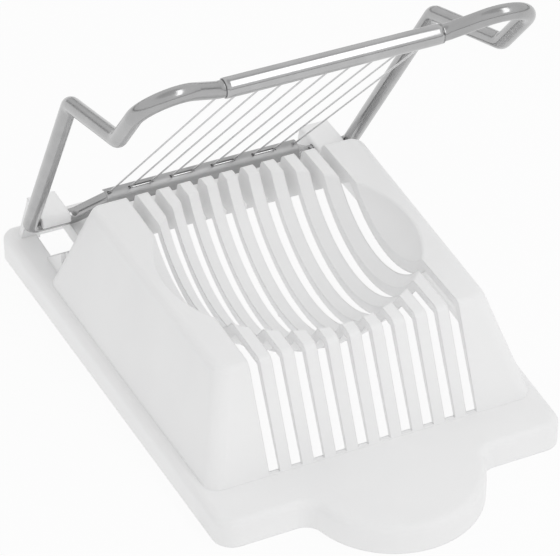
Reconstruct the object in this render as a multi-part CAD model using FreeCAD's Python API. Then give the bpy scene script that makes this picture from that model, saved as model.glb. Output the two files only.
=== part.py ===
"""Egg slicer: a moulded base with a slotted hump and egg cup, and a hinged wire harp.

Millimetres. X runs across, Y from the thumb tab to the hinge, Z up from the table.
The model is drawn with y = 0 at the rim's front edge and moved to its own frame at the end.
"""
import FreeCAD, Part
import math
import os

# Cutting wires
WIRE_COUNT = 10
WIRE_PITCH = 5.0
WIRE_DIAMETER = 0.4
WIRE_HOLE_GAP = 0.05
WIRE_END_GAP = 0.03

# Rim of the base, with its thumb tab
RIM_LENGTH = 114.0
RIM_FRONT_WIDTH = 78.1
RIM_HEIGHT = 6.4
RIM_EDGE_ROUND = 1.8
FRONT_CORNER_RADIUS = 4.4
REAR_CORNER_RADIUS = 3.5
TAB_REACH = 16.8
TAB_RADIUS = 19.3
TAB_FILLET = 4.0
WALL = 1.9
HUMP_FRONT_FOOT_WALL = 0.7

# Hump
HUMP_HEIGHT = 28.4
HUMP_FRONT_FOOT = 10.3
HUMP_FRONT_LEAN = 10.05
HUMP_REAR_LEAN = 7.1
HUMP_SIDE_STRIP = 2.4
HUMP_TOP_FRONT_WIDTH = 60.9
HUMP_TOP_REAR_WIDTH = 64.9
HUMP_CORNER_RADIUS = 3.2
HUMP_EDGE_ROUND = 2.0
CUP_DEPTH = 16.85
CUP_MARGIN = 3.03
CUP_EDGE_ROUND = 0.7
SLOT_WIDTH = 2.35
SLOT_FRONT_SILL = 0.3
SLOT_REAR_REACH = 0.7
RIB_DEPTH = 8.4
ROOF_ANGLE = 37.85
ROOF_REACH = 2.2

# Rear deck with its raised shelf, side windows and hinge lugs
REAR_DECK = 22.5
HINGE_FROM_REAR = 10.82
HINGE_HEIGHT = 12.69
SHELF_THICKNESS = 1.4
SHELF_GAP = 0.5
SHELF_SIDE_GAP = 0.5
WINDOW_SIDE_MARGIN = 1.0
WINDOW_FRONT_OFFSET = 4.0
WINDOW_REAR_OFFSET = 7.0
WINDOW_UNDERCUT = 3.6
CHEEK_WIDTH = 1.0
LUG_WIDTH = 6.9
LUG_FRONT_WALL = 1.15
LUG_TOP_WALL = 0.95
LUG_REAR_OFFSET = 6.9
LUG_FOOT_OFFSET = 9.8
LUG_LIP_RISE = 0.6
LUG_TOP_ROUND = 1.5
LUG_SIDE_ROUND = 0.8
LUG_HOOK_OFFSET = 0.3
LUG_HOOK_WALL = 1.0
CORNER_BLOCK_WIDTH = 5.95
GUSSET_OFFSET = 4.9
GUSSET_FOOT = 2.8

# Bail rod, sleeve and comb of the harp, lying flat with u forward of the hinge and w above it
REST_ANGLE = 45.23
ROD_DIAMETER = 3.5
HINGE_RUNNING_GAP = 0.08
SLEEVE_WALL = 0.3
SLEEVE_GAP = 0.05
SLEEVE_END_MARGIN = 0.9
ROD_BUTT_GAP = 0.5
COMB_OFFSET = 8.4
COMB_RISE = 0.6
WIRE_PLANE_RISE = 1.4
COMB_NOTCH_MARGIN = 1.6
COMB_NOTCH_RISE = 0.2
CRANK_TUCK = 1.7
CRANK_SPLAY = 7.0
CRANK_LUG_GAP = 1.6
CRANK_BEND = 2.2
LEG_LUG_GAP = 2.2
LEG_BEND = 2.4
SHOULDER_BACK = 39.7
SHOULDER_RISE = 13.06
ELBOW_BACK = 14.16
ELBOW_RISE = -0.8
ELBOW_RIM_GAP = 0.8
SHOULDER_BEND = 4.5
HANDLE_REACH = 12.8
HANDLE_BEND = 7.0
HANDLE_END_MARGIN = 1.2
HANDLE_ENTRY_BEND = 3.5

# Sizes that follow from the ones above
rod_radius = ROD_DIAMETER / 2
wire_radius = WIRE_DIAMETER / 2
wire_span = (WIRE_COUNT - 1) * WIRE_PITCH
tube_half = wire_span / 2 + SLEEVE_END_MARGIN
tube_bore_radius = rod_radius + SLEEVE_GAP
tube_radius = tube_bore_radius + SLEEVE_WALL

crank_comb_x = tube_half - CRANK_TUCK
crank_hinge_x = crank_comb_x + CRANK_SPLAY
lug_inner = crank_hinge_x + CRANK_LUG_GAP
lug_outer = lug_inner + LUG_WIDTH
leg_x = lug_outer + LEG_LUG_GAP
rim_rear_half = lug_outer + CORNER_BLOCK_WIDTH
rim_front_half = RIM_FRONT_WIDTH / 2

hinge_y = RIM_LENGTH - HINGE_FROM_REAR
hump_rear_foot = RIM_LENGTH - REAR_DECK
hump_front_top = HUMP_FRONT_FOOT + HUMP_FRONT_LEAN
hump_rear_top = hump_rear_foot - HUMP_REAR_LEAN
cup_y = (hump_front_top + hump_rear_top) / 2
hump_top_half_width = (HUMP_TOP_FRONT_WIDTH + HUMP_TOP_REAR_WIDTH) / 4
hump_top_half_length = (hump_rear_top - hump_front_top) / 2
cup_mouth_radius = min(hump_top_half_width, hump_top_half_length) - CUP_MARGIN
cup_radius = (cup_mouth_radius ** 2 + CUP_DEPTH ** 2) / (2 * CUP_DEPTH)
cup_z = HUMP_HEIGHT - CUP_DEPTH + cup_radius
shelf_top = HINGE_HEIGHT - rod_radius - SHELF_GAP
shelf_half = lug_inner - SHELF_SIDE_GAP
shelf_underside = shelf_top - SHELF_THICKNESS
roof_half = shelf_half - WALL
roof_y = hump_rear_foot + ROOF_REACH
roof_fall = math.tan(math.radians(ROOF_ANGLE))
lug_rear = hinge_y + LUG_REAR_OFFSET
lug_foot = hinge_y + LUG_FOOT_OFFSET
lug_bore_radius = rod_radius + HINGE_RUNNING_GAP
lug_top = HINGE_HEIGHT + lug_bore_radius + LUG_TOP_WALL
window_outer = lug_outer - WINDOW_SIDE_MARGIN
window_inner = shelf_half - WINDOW_UNDERCUT
window_front = hinge_y - WINDOW_FRONT_OFFSET
window_rear = hinge_y + WINDOW_REAR_OFFSET
ramp_top = hump_rear_foot - HUMP_REAR_LEAN / 2
sleeve_u = hinge_y

CUT_MARGIN = 1.0
X_AXIS = FreeCAD.Vector(1, 0, 0)
Y_AXIS = FreeCAD.Vector(0, 1, 0)
ORIGIN = FreeCAD.Vector(0, 0, 0)


def point(x, y, z):
    return FreeCAD.Vector(x, y, z)


def rim_half(y):
    """Half width of the tapered rim at y."""
    return rim_front_half + (rim_rear_half - rim_front_half) * y / RIM_LENGTH


def block(low, high):
    """Box between two opposite corners."""
    size = [b - a for a, b in zip(low, high)]
    return Part.makeBox(*size, point(*low))


def prism(corners, depth):
    """Polygon drawn out along a vector."""
    return Part.Face(Part.makePolygon(corners + corners[:1])).extrude(depth)


def both_sides(shape):
    """A right-hand shape with its mirror image."""
    return [shape, shape.mirror(ORIGIN, X_AXIS)]


def bend(before, corner, after, radius):
    """Start, middle and end of the arc that rounds one corner of a path."""
    back = (before - corner).normalize()
    ahead = (after - corner).normalize()
    half_angle = back.getAngle(ahead) / 2
    tangent = radius / math.tan(half_angle)
    inward = (back + ahead).normalize()
    middle = corner + inward * (radius / math.sin(half_angle) - radius)
    return corner + back * tangent, middle, corner + ahead * tangent


def rounded_path(corners, radii, closed):
    """Straight runs through the corners, joined by tangent arcs."""
    count = len(corners)
    bends = []
    for i in range(count):
        if closed or 0 < i < count - 1:
            bends.append(bend(corners[i - 1], corners[i], corners[(i + 1) % count], radii[i]))
        else:
            bends.append((corners[i], None, corners[i]))
    edges = []
    for i in range(count):
        start, middle, end = bends[i]
        if middle is not None:
            edges.append(Part.Arc(start, middle, end).toShape())
        if closed or i < count - 1:
            edges.append(Part.LineSegment(end, bends[(i + 1) % count][0]).toShape())
    return Part.Wire(edges)


def quad(front_y, front_half, rear_y, rear_half, z, radii):
    """Rounded trapezoid at height z: front and rear lines with their half widths."""
    corners = [point(-front_half, front_y, z), point(front_half, front_y, z),
               point(rear_half, rear_y, z), point(-rear_half, rear_y, z)]
    return rounded_path(corners, radii, closed=True)


def level_edges(shape, z):
    """Edges of a shape that lie at one height."""
    near = 1e-4
    return [e for e in shape.Edges if max(abs(e.BoundBox.ZMin - z), abs(e.BoundBox.ZMax - z)) < near]


def rim_plan(inset, height):
    """Rim and tab as a plain prism, drawn in by a wall."""
    corner_radii = [FRONT_CORNER_RADIUS - inset] * 2 + [REAR_CORNER_RADIUS - inset] * 2
    outline = quad(inset, rim_front_half - inset, RIM_LENGTH - inset, rim_rear_half - inset, 0, corner_radii)
    tab_y = TAB_RADIUS - TAB_REACH
    tab = Part.makeCylinder(TAB_RADIUS - inset, height, point(0, tab_y, 0))
    return Part.Face(outline).extrude(point(0, 0, height)).fuse(tab).removeSplitter()


def rim_outer():
    """Rim and tab with the tab's side fillets and the rounded top edge."""
    rim = rim_plan(0, RIM_HEIGHT)
    tab_x = math.sqrt(TAB_RADIUS ** 2 - (TAB_RADIUS - TAB_REACH) ** 2)
    near = 0.01
    roots = [e for e in rim.Edges if e.BoundBox.YLength < near and e.BoundBox.XLength < near
             and abs(abs(e.CenterOfMass.x) - tab_x) < near]
    rim = rim.makeFillet(TAB_FILLET, roots)
    return rim.makeFillet(RIM_EDGE_ROUND, level_edges(rim, RIM_HEIGHT))


def hump_section(z, inset, front_inset):
    """Plan section of the hump at height z, drawn in by a wall, with its own wall in front."""
    rise = (z - RIM_HEIGHT) / (HUMP_HEIGHT - RIM_HEIGHT)
    front_y = HUMP_FRONT_FOOT + HUMP_FRONT_LEAN * rise
    rear_y = hump_rear_foot - HUMP_REAR_LEAN * rise
    front_foot = rim_half(HUMP_FRONT_FOOT) - HUMP_SIDE_STRIP
    rear_foot = rim_half(hump_rear_foot) - HUMP_SIDE_STRIP
    front_half = front_foot + (HUMP_TOP_FRONT_WIDTH / 2 - front_foot) * rise
    rear_half = rear_foot + (HUMP_TOP_REAR_WIDTH / 2 - rear_foot) * rise
    radii = [HUMP_CORNER_RADIUS - inset] * 4
    return quad(front_y + front_inset, front_half - inset, rear_y - inset, rear_half - inset, z, radii)


def hump_outer():
    foot = RIM_HEIGHT - WALL / 2
    hump = Part.makeLoft([hump_section(foot, 0, 0), hump_section(HUMP_HEIGHT, 0, 0)], True, True)
    return hump.makeFillet(HUMP_EDGE_ROUND, level_edges(hump, HUMP_HEIGHT))


def hump_hollow():
    bottom = RIM_HEIGHT - WALL - CUT_MARGIN
    top = HUMP_HEIGHT - WALL
    sections = [hump_section(bottom, WALL, HUMP_FRONT_FOOT_WALL), hump_section(top, WALL, WALL)]
    return Part.makeLoft(sections, True, True)


def shelf(inset, top):
    """Raised shelf behind the hump, drawn in by a wall."""
    half = shelf_half - inset
    return block((-half, hump_rear_foot - WALL - CUT_MARGIN, 0), (half, lug_rear - inset, top))


def ball(radius):
    return Part.makeSphere(radius, point(0, cup_y, cup_z))


def roof_z(y):
    """Height of the sloping roof that covers the hollow from the cup to the shelf."""
    return shelf_underside + (roof_y - y) * roof_fall


def across(profile, low_x, high_x):
    """Profile in y and z drawn out from one side to the other."""
    corners = [point(low_x, y, z) for y, z in profile]
    return prism(corners, point(high_x - low_x, 0, 0))


def under_roof(front_y):
    """Space under the sloping roof, from front_y back to the windows beside the shelf."""
    profile = [(front_y, roof_z(front_y)), (window_front, roof_z(window_front)), (window_front, -CUT_MARGIN),
               (front_y, -CUT_MARGIN)]
    return across(profile, -window_outer, window_outer)


def rear_opening():
    """Way out of the hump's hollow under the sloping roof, through the rear wall and the deck."""
    through = hump_hollow().translated(point(0, 2 * WALL, 0))
    behind = block((-window_outer, hump_rear_foot, -CUT_MARGIN), (window_outer, window_front, HUMP_HEIGHT))
    return under_roof(hump_rear_top).common(through.fuse(behind))


def ribs(hump):
    """Solid between the cup and the rear wall, which the slots part into a rib under each slat."""
    solid = block((-roof_half, cup_y, HUMP_HEIGHT - RIB_DEPTH), (roof_half, hump_rear_foot, HUMP_HEIGHT))
    return solid.common(hump).cut(under_roof(cup_y))


def ramp(end_y, end_top, low_x, high_x):
    """Sloping foot of the rear wall, from the middle of the wall down to end_y."""
    profile = [(ramp_top, roof_z(ramp_top)), (end_y, roof_z(end_y)), (end_y, end_top),
               (ramp_top, roof_z(ramp_top) + SHELF_THICKNESS)]
    return across(profile, low_x, high_x)


def side_ramp():
    """Sloping foot beside the shelf, down to the window, with a cheek that closes its outer side."""
    end_top = roof_z(window_front) + SHELF_THICKNESS
    slope = ramp(window_front, end_top, roof_half, window_outer)
    deck = RIM_HEIGHT - WALL
    profile = [(hump_rear_foot - WALL, deck), (window_front, deck), (window_front, end_top),
               (hump_rear_foot - WALL, roof_z(hump_rear_foot - WALL) + SHELF_THICKNESS)]
    return slope.fuse(across(profile, window_outer, window_outer + CHEEK_WIDTH))


def shell():
    """Hollow moulding with the egg cup, before the rear cut-outs and the slots."""
    hump = hump_outer()
    outer = rim_outer().fuse([hump, shelf(0, shelf_top)])
    rim_hollow = rim_plan(WALL, RIM_HEIGHT - WALL)
    hollow = rim_hollow.fuse([hump_hollow(), shelf(WALL, shelf_underside)])
    cup = ball(cup_radius + WALL).common(hump)
    body = outer.cut(hollow).fuse([cup, ribs(hump)]).cut(ball(cup_radius))
    rim_edges = level_edges(body, HUMP_HEIGHT)
    near = 0.01
    cup_edges = [e for e in rim_edges if abs(e.BoundBox.XLength / 2 - cup_mouth_radius) < near]
    return body.makeFillet(CUP_EDGE_ROUND, cup_edges)


def window_cut():
    """Opening under the lug, with its reach under the shelf's side and its notch in the rear skirt."""
    low = (window_inner, window_front, -CUT_MARGIN)
    window = block(low, (window_outer, window_rear, RIM_HEIGHT))
    notch = block(low, (window_outer, RIM_LENGTH + CUT_MARGIN, RIM_HEIGHT - WALL))
    return window.fuse(notch)


def lug():
    """Hook over the hinge section of the rod, standing on the rear deck."""
    front = hinge_y - lug_bore_radius - LUG_FRONT_WALL
    lip = HINGE_HEIGHT + LUG_LIP_RISE
    hook_y = hinge_y + LUG_HOOK_OFFSET
    hook_z = HINGE_HEIGHT - lug_bore_radius - LUG_HOOK_WALL / 2
    deck = RIM_HEIGHT - WALL
    profile = [(front, lip), (front, lug_top), (lug_rear, lug_top), (lug_foot, deck),
               (window_rear, deck), (window_rear, RIM_HEIGHT), (hook_y, hook_z), (hook_y, lip)]
    corners = [point(lug_inner, y, z) for y, z in profile]
    solid = prism(corners, point(LUG_WIDTH, 0, 0))
    top = level_edges(solid, lug_top)
    front_top = [e for e in top if abs(e.CenterOfMass.y - front) < WALL / 2]
    solid = solid.makeFillet(LUG_TOP_ROUND, front_top)
    inner_top = [e for e in level_edges(solid, lug_top) if abs(e.CenterOfMass.x - lug_inner) < WALL / 2]
    solid = solid.makeFillet(LUG_SIDE_ROUND, inner_top)
    bore = Part.makeCylinder(lug_bore_radius, LUG_WIDTH + 2 * CUT_MARGIN,
                             point(lug_inner - CUT_MARGIN, hinge_y, HINGE_HEIGHT), X_AXIS)
    return solid.cut(bore)


def gusset():
    """Rib that spreads the lug's outer side onto the rim's corner, behind the leg."""
    foot = RIM_HEIGHT - WALL / 2
    inside = lug_outer - WALL
    profile = [(inside, foot), (lug_outer + GUSSET_FOOT, foot), (lug_outer, lug_top - LUG_SIDE_ROUND),
               (inside, lug_top - LUG_SIDE_ROUND)]
    corners = [point(x, hinge_y + GUSSET_OFFSET, z) for x, z in profile]
    return prism(corners, point(0, LUG_REAR_OFFSET - GUSSET_OFFSET, 0))


def slot_cut(x):
    """Slot for one wire, through the front wall, the cup and the rear wall into the shelf."""
    front_floor = RIM_HEIGHT + SLOT_FRONT_SILL
    low = (x - SLOT_WIDTH / 2, 0, front_floor)
    return block(low, (x + SLOT_WIDTH / 2, hump_rear_foot + SLOT_REAR_REACH, HUMP_HEIGHT + CUT_MARGIN))


def wire_places():
    return [i * WIRE_PITCH - wire_span / 2 for i in range(WIRE_COUNT)]


def base():
    body = shell().cut([rear_opening()] + both_sides(window_cut()))
    body = body.fuse([ramp(roof_y, shelf_top, -roof_half, roof_half)] + both_sides(side_ramp()))
    body = body.fuse(both_sides(lug()) + both_sides(gusset()))
    return body.cut([slot_cut(x) for x in wire_places()])


def lying(x, u, w):
    """Point of the harp while it lies flat: u forward of the hinge, w above it."""
    return point(x, -u, w)


def rod_route():
    """Corners and bends of the right half of the rod, from the sleeve's middle to the comb's."""
    elbow_u = sleeve_u - ELBOW_BACK
    elbow_x = rim_half(hinge_y - elbow_u) + ELBOW_RIM_GAP + rod_radius
    shoulder_u = sleeve_u - SHOULDER_BACK
    shoulder_x = leg_x + (elbow_x - leg_x) * shoulder_u / elbow_u
    return [(lying(ROD_BUTT_GAP / 2, sleeve_u, WIRE_PLANE_RISE), 0),
            (lying(tube_half + HANDLE_END_MARGIN, sleeve_u, WIRE_PLANE_RISE), HANDLE_ENTRY_BEND),
            (lying(elbow_x, sleeve_u + HANDLE_REACH, WIRE_PLANE_RISE), HANDLE_BEND),
            (lying(elbow_x, elbow_u, ELBOW_RISE), SHOULDER_BEND),
            (lying(shoulder_x, shoulder_u, SHOULDER_RISE), SHOULDER_BEND),
            (lying(leg_x, 0, 0), LEG_BEND),
            (lying(crank_hinge_x, 0, 0), CRANK_BEND),
            (lying(crank_comb_x, COMB_OFFSET, COMB_RISE), CRANK_BEND)]


def bail_rod():
    """One bent rod: its ends meet inside the sleeve and its rear bar runs inside the comb."""
    right = rod_route()
    left = [(point(-p.x, p.y, p.z), r) for p, r in reversed(right)]
    corners = [p for p, r in right + left]
    radii = [r for p, r in right + left]
    path = rounded_path(corners, radii, closed=False)
    section = Part.Wire(Part.makeCircle(rod_radius, corners[0], X_AXIS))
    return path.makePipeShell([section], True, False)


def wire_tube(u, w, direction):
    """Rolled steel tube round a straight bar of the rod, with a hole for each wire."""
    start = lying(-tube_half, u, w)
    tube = Part.makeCylinder(tube_radius, 2 * tube_half, start, X_AXIS)
    bore = Part.makeCylinder(tube_bore_radius, 2 * tube_half, start, X_AXIS)
    hole_radius = wire_radius + WIRE_HOLE_GAP
    reach = tube_radius + CUT_MARGIN
    holes = [Part.makeCylinder(hole_radius, reach, lying(x, u, WIRE_PLANE_RISE), direction)
             for x in wire_places()]
    return tube.cut([bore] + holes)


def comb_notch():
    """Opening in the right end of the comb, through which the rod bends out of it."""
    reach = tube_radius + CUT_MARGIN
    low = (crank_comb_x - COMB_NOTCH_MARGIN, -COMB_OFFSET - COMB_NOTCH_RISE, COMB_RISE - reach)
    return block(low, (tube_half + CUT_MARGIN, reach - COMB_OFFSET, COMB_RISE + reach))


def wire_comb():
    return wire_tube(COMB_OFFSET, COMB_RISE, -Y_AXIS).cut(both_sides(comb_notch()))


def wire_seat(w):
    """Distance from a bar's axis to the end of a wire that butts on the bar."""
    offset = abs(WIRE_PLANE_RISE - w) - wire_radius
    return math.sqrt(rod_radius ** 2 - max(offset, 0) ** 2) + WIRE_END_GAP


def cutting_wire(x):
    """Straight wire from the comb to the sleeve, ending against the rod inside each."""
    start = COMB_OFFSET + wire_seat(COMB_RISE)
    length = sleeve_u - wire_seat(WIRE_PLANE_RISE) - start
    return Part.makeCylinder(wire_radius, length, lying(x, start, WIRE_PLANE_RISE), -Y_AXIS)


def harp():
    """Pieces of the harp by name, lying flat about the hinge."""
    pieces = {"bail_rod": bail_rod(),
              "front_sleeve": wire_tube(sleeve_u, WIRE_PLANE_RISE, Y_AXIS),
              "wire_comb": wire_comb()}
    for number, x in enumerate(wire_places(), start=1):
        pieces[f"cutting_wire_{number:02d}"] = cutting_wire(x)
    return pieces


def raised(shape):
    """A lying piece of the harp, swung up to the rest angle on the hinge."""
    turned = shape.rotated(ORIGIN, X_AXIS, -REST_ANGLE)
    return turned.translated(point(0, hinge_y, HINGE_HEIGHT))


def assembly():
    pieces = {"base": base()}
    for name, shape in harp().items():
        pieces[name] = raised(shape)
    to_middle = point(0, (TAB_REACH - RIM_LENGTH) / 2, 0)
    return {name: shape.translated(to_middle) for name, shape in pieces.items()}


os.makedirs("parts", exist_ok=True)
for name, shape in assembly().items():
    box = shape.BoundBox
    print(name, shape.isValid(), len(shape.Solids), round(shape.Volume, 2),
          [round(v, 2) for v in (box.XMin, box.XMax, box.YMin, box.YMax, box.ZMin, box.ZMax)])
    shape.exportStep(f"parts/{name}.step")
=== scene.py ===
"""Looks of the egg slicer: white moulded base, bright rod, rolled sleeve and comb, steel wires.

Metres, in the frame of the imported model. Sizes of the harp are in millimetres, turned by MM.
"""
import math

import bmesh
import bpy
from mathutils import Matrix, Vector


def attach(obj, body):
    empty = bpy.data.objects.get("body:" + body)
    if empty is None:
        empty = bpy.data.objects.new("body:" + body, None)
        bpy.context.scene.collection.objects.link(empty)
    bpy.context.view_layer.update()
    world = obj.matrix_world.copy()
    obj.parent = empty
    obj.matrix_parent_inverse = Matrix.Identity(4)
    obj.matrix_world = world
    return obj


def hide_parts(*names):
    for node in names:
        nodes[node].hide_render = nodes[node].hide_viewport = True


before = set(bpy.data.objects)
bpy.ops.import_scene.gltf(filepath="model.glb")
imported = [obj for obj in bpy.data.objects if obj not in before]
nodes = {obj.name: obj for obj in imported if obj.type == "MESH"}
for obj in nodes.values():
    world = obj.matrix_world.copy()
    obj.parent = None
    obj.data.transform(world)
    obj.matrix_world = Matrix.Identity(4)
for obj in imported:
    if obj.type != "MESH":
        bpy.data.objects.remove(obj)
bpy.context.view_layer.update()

MM = 0.001

# Harp: u runs forward from the hinge along the wires, w stands off the wires
REST_ANGLE = math.radians(45.23)
HINGE_Y = 54.58
HINGE_Z = 12.69
WIRE_COUNT = 10
WIRE_PITCH = 5.0
WIRE_RADIUS = 0.2
WIRE_PLANE = 1.4
SLEEVE_U = 103.18
COMB_U = 8.4
COMB_W = 0.6
TUBE_HALF = 23.4
TUBE_MID_RADIUS = 1.95
TUBE_WALL = 0.3

# Rolled strips: grid, slits, the comb's windows and its end notches
TUBE_SEGMENTS = 72
SUPPORT = 0.09
SLEEVE_SLIT_HALF = 0.3
SLEEVE_SLIT_ANGLE = math.pi
COMB_SLIT_HALF = 0.12
COMB_SLIT_ANGLE = math.radians(205)
WINDOW_HALF_HEIGHT = 0.34
WINDOW_END = 0.42
NOTCH_X = 20.1
NOTCH_RISE = 0.2

# Strand loops: how deep the ends lie, how far the middle stands out, and their bends
LOOP_SINK = 0.1
LOOP_STAND = 0.02
LOOP_BEND = 0.35
LOOP_STRAIGHT = 1.2
LOOP_TILT = 0.06
LOOP_ROUNDNESS = 4
LOOP_ORDER = 3

# Noise patterns as scale and detail, and the part of their range that is used
CLOUD = (45, 3)
SHEEN = (160, 4)
MOULD_GRAIN = (5200, 2)
METAL_TONE = (220, 3)
METAL_GRAIN = (900, 3)
NOISE_LOW = 0.3
NOISE_HIGH = 0.7
EVEN = (1, 1, 1)

# White plastic
PLASTIC_DARK = (0.86, 0.86, 0.862)
PLASTIC_LIGHT = (0.89, 0.89, 0.89)
PLASTIC_ROUGH = (0.42, 0.52)
PLASTIC_IOR = 1.5
PLASTIC_SPECULAR = 0.35
PLASTIC_EDGE = 0.35 * MM
EDGE_SAMPLES = 6
MOULD_GRAIN_STRENGTH = 0.12
MOULD_GRAIN_HEIGHT = 0.04 * MM

# Metals
COOL_TINT = 1.005
METAL_GRAIN_HEIGHT = 0.03 * MM

# Floor: its glow as light, and as seen by camera, glossy and transmission rays
FLOOR_HALF = 4.0
FLOOR_GREY = 0.85
FLOOR_WHITE = 1.0
FLOOR_GLOW = 0.8
FLOOR_SEEN = 0.9

# World: levels of the room, and heights from straight down at 0 to straight up at 1
WORLD_LEVEL = 0.88
HORIZON_DARK = 0.25
ZENITH_DARK = 0.65
HORIZON = 0.5
HORIZON_EDGE = 0.005
HORIZON_HEIGHT = 0.05
ZENITH_START = 0.91
ZENITH_FULL = 0.955

# Softbox: lift turns it about the x axis, aside takes it off that circle
LAMP_ASIDE = math.radians(20)
LAMP_LIFT = math.radians(61)
LAMP_DISTANCE = 0.8
LAMP_WIDTH = 0.2
LAMP_HEIGHT = 0.8
LAMP_RADIANCE = 2.0
LAMP_TARGET = Vector((0, 0, 0.03))

# Camera
CAMERA_PLACE = Vector((-211.07, -443.74, 389.05)) * MM
CAMERA_TARGET = Vector((-1.22, 4.89, 20.0)) * MM
CAMERA_LENS = 186.77
CAMERA_SENSOR = 36.0
CAMERA_NEAR = 0.01
CAMERA_FAR = 20


def harp_point(x, u, w):
    """Point of the harp in the rest pose, in metres."""
    y = HINGE_Y - u * math.cos(REST_ANGLE) + w * math.sin(REST_ANGLE)
    z = HINGE_Z + u * math.sin(REST_ANGLE) + w * math.cos(REST_ANGLE)
    return Vector((x * MM, y * MM, z * MM))


def round_tube(x, u, w, radius, angle):
    """Point at a radius and an angle round a tube's axis at u and w, in metres."""
    return harp_point(x, u + radius * math.cos(angle), w + radius * math.sin(angle))


def wire_x(number):
    """Place of a wire across the harp."""
    return (number - (WIRE_COUNT + 1) / 2) * WIRE_PITCH


def add_object(name, data):
    """New object in the scene."""
    piece = bpy.data.objects.new(name, data)
    bpy.context.scene.collection.objects.link(piece)
    return piece


# Materials

def new_material(name):
    """New node material with its Principled shader."""
    material = bpy.data.materials.new(name)
    material.use_nodes = True
    tree = material.node_tree
    return material, tree, tree.nodes["Principled BSDF"]


def noise(tree, pattern, stretch=EVEN):
    """Noise in the object's own metres, stretched along its axes."""
    coordinates = tree.nodes.new("ShaderNodeTexCoord")
    mapping = tree.nodes.new("ShaderNodeMapping")
    mapping.inputs["Scale"].default_value = stretch
    texture = tree.nodes.new("ShaderNodeTexNoise")
    texture.inputs["Scale"].default_value, texture.inputs["Detail"].default_value = pattern
    tree.links.new(coordinates.outputs["Object"], mapping.inputs["Vector"])
    tree.links.new(mapping.outputs["Vector"], texture.inputs["Vector"])
    return texture.outputs["Fac"]


def ramp(tree, source, low, high):
    """The used part of a noise spread between two colours."""
    node = tree.nodes.new("ShaderNodeValToRGB")
    stops = ((NOISE_LOW, low), (NOISE_HIGH, high))
    for element, (position, colour) in zip(node.color_ramp.elements, stops):
        element.position = position
        element.color = (*colour, 1)
    tree.links.new(source, node.inputs["Fac"])
    return node.outputs["Color"]


def spread(tree, source, low, high):
    """The used part of a noise spread between two values."""
    node = tree.nodes.new("ShaderNodeMapRange")
    node.inputs["From Min"].default_value = NOISE_LOW
    node.inputs["From Max"].default_value = NOISE_HIGH
    node.inputs["To Min"].default_value = low
    node.inputs["To Max"].default_value = high
    tree.links.new(source, node.inputs["Value"])
    return node.outputs["Result"]


def bump(tree, source, strength, distance, soft_edge=0.0):
    """Bump from a noise, over edges that are softened where a radius is given."""
    node = tree.nodes.new("ShaderNodeBump")
    node.inputs["Strength"].default_value = strength
    node.inputs["Distance"].default_value = distance
    tree.links.new(source, node.inputs["Height"])
    if soft_edge:
        bevel = tree.nodes.new("ShaderNodeBevel")
        bevel.samples = EDGE_SAMPLES
        bevel.inputs["Radius"].default_value = soft_edge
        tree.links.new(bevel.outputs["Normal"], node.inputs["Normal"])
    return node.outputs["Normal"]


def plastic():
    """White satin moulding: faint clouding, a fine mould grain and softened edges."""
    material, tree, shader = new_material("white_plastic")
    colour = ramp(tree, noise(tree, CLOUD), PLASTIC_DARK, PLASTIC_LIGHT)
    roughness = spread(tree, noise(tree, SHEEN), *PLASTIC_ROUGH)
    grain = noise(tree, MOULD_GRAIN)
    normal = bump(tree, grain, MOULD_GRAIN_STRENGTH, MOULD_GRAIN_HEIGHT, PLASTIC_EDGE)
    tree.links.new(colour, shader.inputs["Base Color"])
    tree.links.new(roughness, shader.inputs["Roughness"])
    tree.links.new(normal, shader.inputs["Normal"])
    shader.inputs["IOR"].default_value = PLASTIC_IOR
    shader.inputs["Specular IOR Level"].default_value = PLASTIC_SPECULAR
    return material


def grey(value):
    """Grey with a trace of blue."""
    return (value, value, value * COOL_TINT)


def metal(name, dark, light, rough, grain_strength, grain_stretch=EVEN):
    """Metal with a slightly uneven tone and a fine grain, drawn out where it is stretched."""
    material, tree, shader = new_material(name)
    shader.inputs["Metallic"].default_value = 1.0
    colour = ramp(tree, noise(tree, METAL_TONE), grey(dark), grey(light))
    grain = noise(tree, METAL_GRAIN, grain_stretch)
    normal = bump(tree, grain, grain_strength, METAL_GRAIN_HEIGHT)
    tree.links.new(colour, shader.inputs["Base Color"])
    tree.links.new(spread(tree, grain, *rough), shader.inputs["Roughness"])
    tree.links.new(normal, shader.inputs["Normal"])
    return material


white_plastic = plastic()
chromed_rod = metal("chromed_rod", dark=0.40, light=0.44, rough=(0.16, 0.22), grain_strength=0.02)
chromed_sleeve = metal("chromed_sleeve", dark=0.46, light=0.51, rough=(0.15, 0.2),
                       grain_strength=0.05, grain_stretch=(0.08, 1, 1))
steel_comb = metal("steel_comb", dark=0.40, light=0.46, rough=(0.42, 0.52),
                   grain_strength=0.1, grain_stretch=(0.05, 1, 1))
steel_wire = metal("steel_wire", dark=0.62, light=0.68, rough=(0.2, 0.3), grain_strength=0.03)


def dress(piece, material):
    """Gives a piece its one material."""
    piece.data.materials.clear()
    piece.data.materials.append(material)


dress(nodes["base"], white_plastic)
dress(nodes["bail_rod"], chromed_rod)
dress(nodes["front_sleeve"], chromed_sleeve)
dress(nodes["wire_comb"], steel_comb)
for number in range(1, WIRE_COUNT + 1):
    dress(nodes[f"cutting_wire_{number:02d}"], steel_wire)


# Rolled sheet steel: sleeve and comb

def lines_with_support(edges):
    """Grid lines at each edge and close to both of its sides, in order."""
    lines = set()
    for edge in edges:
        for step in (-SUPPORT, 0, SUPPORT):
            line = round(edge + step, 4)
            if -TUBE_HALF <= line <= TUBE_HALF:
                lines.add(line)
    return sorted(lines)


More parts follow.
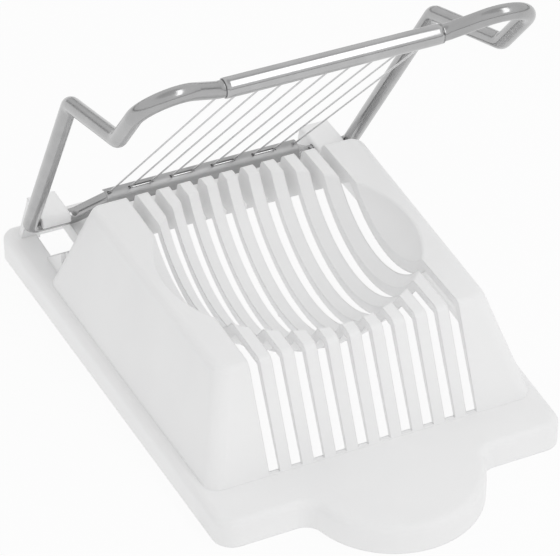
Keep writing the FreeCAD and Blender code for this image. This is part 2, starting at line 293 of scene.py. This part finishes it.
def around(slit_angle, slit_half, window_angle):
    """Angles of the strip's grid, from one lip of the slit round to the other."""
    gap = slit_half / TUBE_MID_RADIUS
    start, end = slit_angle + gap, slit_angle + 2 * math.pi - gap
    support = SUPPORT / TUBE_MID_RADIUS
    angles = [start + (end - start) * i / TUBE_SEGMENTS for i in range(TUBE_SEGMENTS + 1)]
    fixed = [start, start + support, end - support, end]
    if window_angle is not None:
        half = WINDOW_HALF_HEIGHT / TUBE_MID_RADIUS
        for side in (-half, half):
            fixed += [window_angle + side + step for step in (-support, 0, support)]
    kept = [a for a in angles if min(abs(a - f) for f in fixed) > support]
    return sorted(kept + fixed)


def is_open(x, angle, windows, window_angle, notch_x):
    """Whether the strip is cut away here, by a window or by an end notch."""
    half = WINDOW_HALF_HEIGHT / TUBE_MID_RADIUS
    in_row = window_angle is not None and abs(angle - window_angle) < half
    in_window = in_row and any(low < x < high for low, high in windows)
    in_notch = abs(x) > notch_x and TUBE_MID_RADIUS * math.cos(angle) < NOTCH_RISE
    return in_window or in_notch


def thicken(piece):
    """Gives a sheet its wall and rounds the wall's edges."""
    solidify = piece.modifiers.new("wall", "SOLIDIFY")
    solidify.thickness = TUBE_WALL * MM
    solidify.offset = 0
    solidify.use_even_offset = True
    rounding = piece.modifiers.new("rounding", "SUBSURF")
    rounding.levels = 1
    rounding.render_levels = 1


def rolled_strip(name, u, w, slit_angle, slit_half, windows=(), window_angle=None,
                 notch_x=TUBE_HALF):
    """Sheet rolled round the rod, with a slit, windows and end notches beyond notch_x."""
    edges = [-TUBE_HALF, -notch_x, notch_x, TUBE_HALF] + [x for pair in windows for x in pair]
    xs = lines_with_support(edges)
    angles = around(slit_angle, slit_half, window_angle)
    mesh = bmesh.new()
    grid = [[mesh.verts.new(round_tube(x, u, w, TUBE_MID_RADIUS, a)) for a in angles] for x in xs]
    for i in range(len(xs) - 1):
        for j in range(len(angles) - 1):
            x = (xs[i] + xs[i + 1]) / 2
            angle = (angles[j] + angles[j + 1]) / 2
            if not is_open(x, angle, windows, window_angle, notch_x):
                ring = (grid[i][j], grid[i][j + 1], grid[i + 1][j + 1], grid[i + 1][j])
                mesh.faces.new(ring)
    loose = [v for v in mesh.verts if not v.link_faces]
    bmesh.ops.delete(mesh, geom=loose, context="VERTS")
    bmesh.ops.recalc_face_normals(mesh, faces=mesh.faces)
    data = bpy.data.meshes.new(name)
    mesh.to_mesh(data)
    mesh.free()
    data.polygons.foreach_set("use_smooth", [True] * len(data.polygons))
    piece = add_object(name, data)
    thicken(piece)
    return piece


sleeve = rolled_strip("sleeve_sheet", SLEEVE_U, WIRE_PLANE, SLEEVE_SLIT_ANGLE, SLEEVE_SLIT_HALF)
dress(sleeve, chromed_sleeve)
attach(sleeve, "harp")
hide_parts("front_sleeve")

# The wires enter the comb at one angle, through a window for each loop and each end wire
entry_angle = math.asin((WIRE_PLANE - COMB_W) / TUBE_MID_RADIUS) + 2 * math.pi
loops = [(number, number + 1) for number in range(2, WIRE_COUNT, 2)]
entries = sorted(loops + [(1, 1), (WIRE_COUNT, WIRE_COUNT)])
openings = [(wire_x(a) - WINDOW_END, wire_x(b) + WINDOW_END) for a, b in entries]
comb = rolled_strip("comb_sheet", COMB_U, COMB_W, COMB_SLIT_ANGLE, COMB_SLIT_HALF,
                    openings, entry_angle, NOTCH_X)
dress(comb, steel_comb)
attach(comb, "harp")
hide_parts("wire_comb")


# Strand loops between neighbouring wires, in the comb's windows

def strand_loop(name, first, second):
    """Loop of wire from one wire to the next along the comb's window."""
    inner = TUBE_MID_RADIUS - LOOP_SINK
    outer = TUBE_MID_RADIUS + LOOP_STAND
    low, high = wire_x(first), wire_x(second)
    stations = [(low, inner), (low + LOOP_BEND, outer), (low + LOOP_STRAIGHT, outer),
                (high - LOOP_STRAIGHT, outer), (high - LOOP_BEND, outer), (high, inner)]
    curve = bpy.data.curves.new(name, "CURVE")
    curve.dimensions = "3D"
    curve.bevel_depth = WIRE_RADIUS * MM
    curve.bevel_resolution = LOOP_ROUNDNESS
    curve.use_fill_caps = True
    spline = curve.splines.new("NURBS")
    spline.points.add(len(stations) - 1)
    angle = entry_angle - LOOP_TILT
    for point, (x, radius) in zip(spline.points, stations):
        point.co = (*round_tube(x, COMB_U, COMB_W, radius, angle), 1)
    spline.order_u = LOOP_ORDER
    spline.use_endpoint_u = True
    return add_object(name, curve)


for first, second in loops:
    loop = strand_loop(f"strand_loop_{first:02d}", first, second)
    dress(loop, steel_wire)
    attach(loop, "harp")


# Stage: floor, world, lamp and camera

def seen_ray(tree):
    """1 for rays that show the background: camera, glossy and transmission rays."""
    path = tree.nodes.new("ShaderNodeLightPath")
    total = path.outputs["Is Camera Ray"]
    for name in ("Is Glossy Ray", "Is Transmission Ray"):
        node = tree.nodes.new("ShaderNodeMath")
        node.operation = "MAXIMUM"
        tree.links.new(total, node.inputs[0])
        tree.links.new(path.outputs[name], node.inputs[1])
        total = node.outputs["Value"]
    return total


def between(tree, source, low, high):
    """A factor of 0 to 1 turned into a value between two levels."""
    node = tree.nodes.new("ShaderNodeMath")
    node.operation = "MULTIPLY_ADD"
    node.inputs[1].default_value = high - low
    node.inputs[2].default_value = low
    tree.links.new(source, node.inputs[0])
    return node.outputs["Value"]


def mix_to_output(tree, factor, first, second, output_type):
    """Two shaders mixed by a factor, as the surface of a material or a world."""
    mix = tree.nodes.new("ShaderNodeMixShader")
    output = tree.nodes.new(output_type)
    tree.links.new(factor, mix.inputs["Fac"])
    tree.links.new(first, mix.inputs[1])
    tree.links.new(second, mix.inputs[2])
    tree.links.new(mix.outputs["Shader"], output.inputs["Surface"])


def floor_material():
    """Pale table that glows white and keeps a faint shadow."""
    material = bpy.data.materials.new("floor")
    material.use_nodes = True
    tree = material.node_tree
    tree.nodes.clear()
    diffuse = tree.nodes.new("ShaderNodeBsdfDiffuse")
    diffuse.inputs["Color"].default_value = (FLOOR_GREY, FLOOR_GREY, FLOOR_GREY, 1)
    glow = tree.nodes.new("ShaderNodeEmission")
    glow.inputs["Strength"].default_value = FLOOR_WHITE
    share = between(tree, seen_ray(tree), FLOOR_GLOW, FLOOR_SEEN)
    mix_to_output(tree, share, diffuse.outputs["BSDF"], glow.outputs["Emission"],
                  "ShaderNodeOutputMaterial")
    return material


floor_mesh = bpy.data.meshes.new("floor")
corners = [(x * FLOOR_HALF, y * FLOOR_HALF, 0) for x, y in ((-1, -1), (1, -1), (1, 1), (-1, 1))]
floor_mesh.from_pydata(corners, [], [(0, 1, 2, 3)])
floor_mesh.materials.append(floor_material())
floor = add_object("floor", floor_mesh)


def room_levels(tree):
    """Level of the room by height: pale, with a dark line at the horizon and a darker ceiling."""
    coordinates = tree.nodes.new("ShaderNodeTexCoord")
    split = tree.nodes.new("ShaderNodeSeparateXYZ")
    shift = tree.nodes.new("ShaderNodeMapRange")
    shift.inputs["From Min"].default_value = -1
    heights = tree.nodes.new("ShaderNodeValToRGB")
    stops = heights.color_ramp
    stops.interpolation = "EASE"
    levels = [
        (0.0, WORLD_LEVEL),
        (HORIZON - HORIZON_EDGE, WORLD_LEVEL),
        (HORIZON, HORIZON_DARK),
        (HORIZON + HORIZON_HEIGHT / 2, HORIZON_DARK),
        (HORIZON + HORIZON_HEIGHT, WORLD_LEVEL),
        (ZENITH_START, WORLD_LEVEL),
        (ZENITH_FULL, ZENITH_DARK),
        (1.0, ZENITH_DARK),
    ]
    while len(stops.elements) < len(levels):
        stops.elements.new(1.0)
    for element, (position, level) in zip(stops.elements, levels):
        element.position = position
        element.color = (level, level, level, 1)
    tree.links.new(coordinates.outputs["Generated"], split.inputs["Vector"])
    tree.links.new(split.outputs["Z"], shift.inputs["Value"])
    tree.links.new(shift.outputs["Result"], heights.inputs["Fac"])
    return heights.outputs["Color"]


def world_light():
    """The room as light and in the metal, and plain white where the camera sees it."""
    world = bpy.data.worlds.new("studio")
    bpy.context.scene.world = world
    world.use_nodes = True
    tree = world.node_tree
    tree.nodes.clear()
    room = tree.nodes.new("ShaderNodeBackground")
    tree.links.new(room_levels(tree), room.inputs["Color"])
    white = tree.nodes.new("ShaderNodeBackground")
    path = tree.nodes.new("ShaderNodeLightPath")
    mix_to_output(tree, path.outputs["Is Camera Ray"], room.outputs["Background"],
                  white.outputs["Background"], "ShaderNodeOutputWorld")


world_light()


def softbox(name):
    """Rectangular lamp aimed at the object, unseen by the camera."""
    lamp = bpy.data.lights.new(name, "AREA")
    lamp.shape = "RECTANGLE"
    lamp.size = LAMP_WIDTH
    lamp.size_y = LAMP_HEIGHT
    lamp.energy = LAMP_RADIANCE * math.pi * LAMP_WIDTH * LAMP_HEIGHT
    forward = math.cos(LAMP_ASIDE) * math.cos(LAMP_LIFT)
    back = Vector((math.sin(LAMP_ASIDE), -forward, math.cos(LAMP_ASIDE) * math.sin(LAMP_LIFT)))
    upward = Vector((0, math.sin(LAMP_LIFT), math.cos(LAMP_LIFT)))
    axes = Matrix((upward.cross(back), upward, back)).transposed()
    piece = add_object(name, lamp)
    piece.location = LAMP_TARGET + back * LAMP_DISTANCE
    piece.rotation_mode = "QUATERNION"
    piece.rotation_quaternion = axes.to_quaternion()
    piece.visible_camera = False


softbox("front_softbox")

camera_data = bpy.data.cameras.new("camera")
camera_data.lens = CAMERA_LENS
camera_data.sensor_width = CAMERA_SENSOR
camera_data.clip_start = CAMERA_NEAR
camera_data.clip_end = CAMERA_FAR
camera = add_object("camera", camera_data)
camera.location = CAMERA_PLACE
camera.rotation_mode = "QUATERNION"
camera.rotation_quaternion = (CAMERA_TARGET - CAMERA_PLACE).to_track_quat("-Z", "Y")
bpy.context.scene.camera = camera
bpy.context.scene.view_settings.view_transform = "Standard"
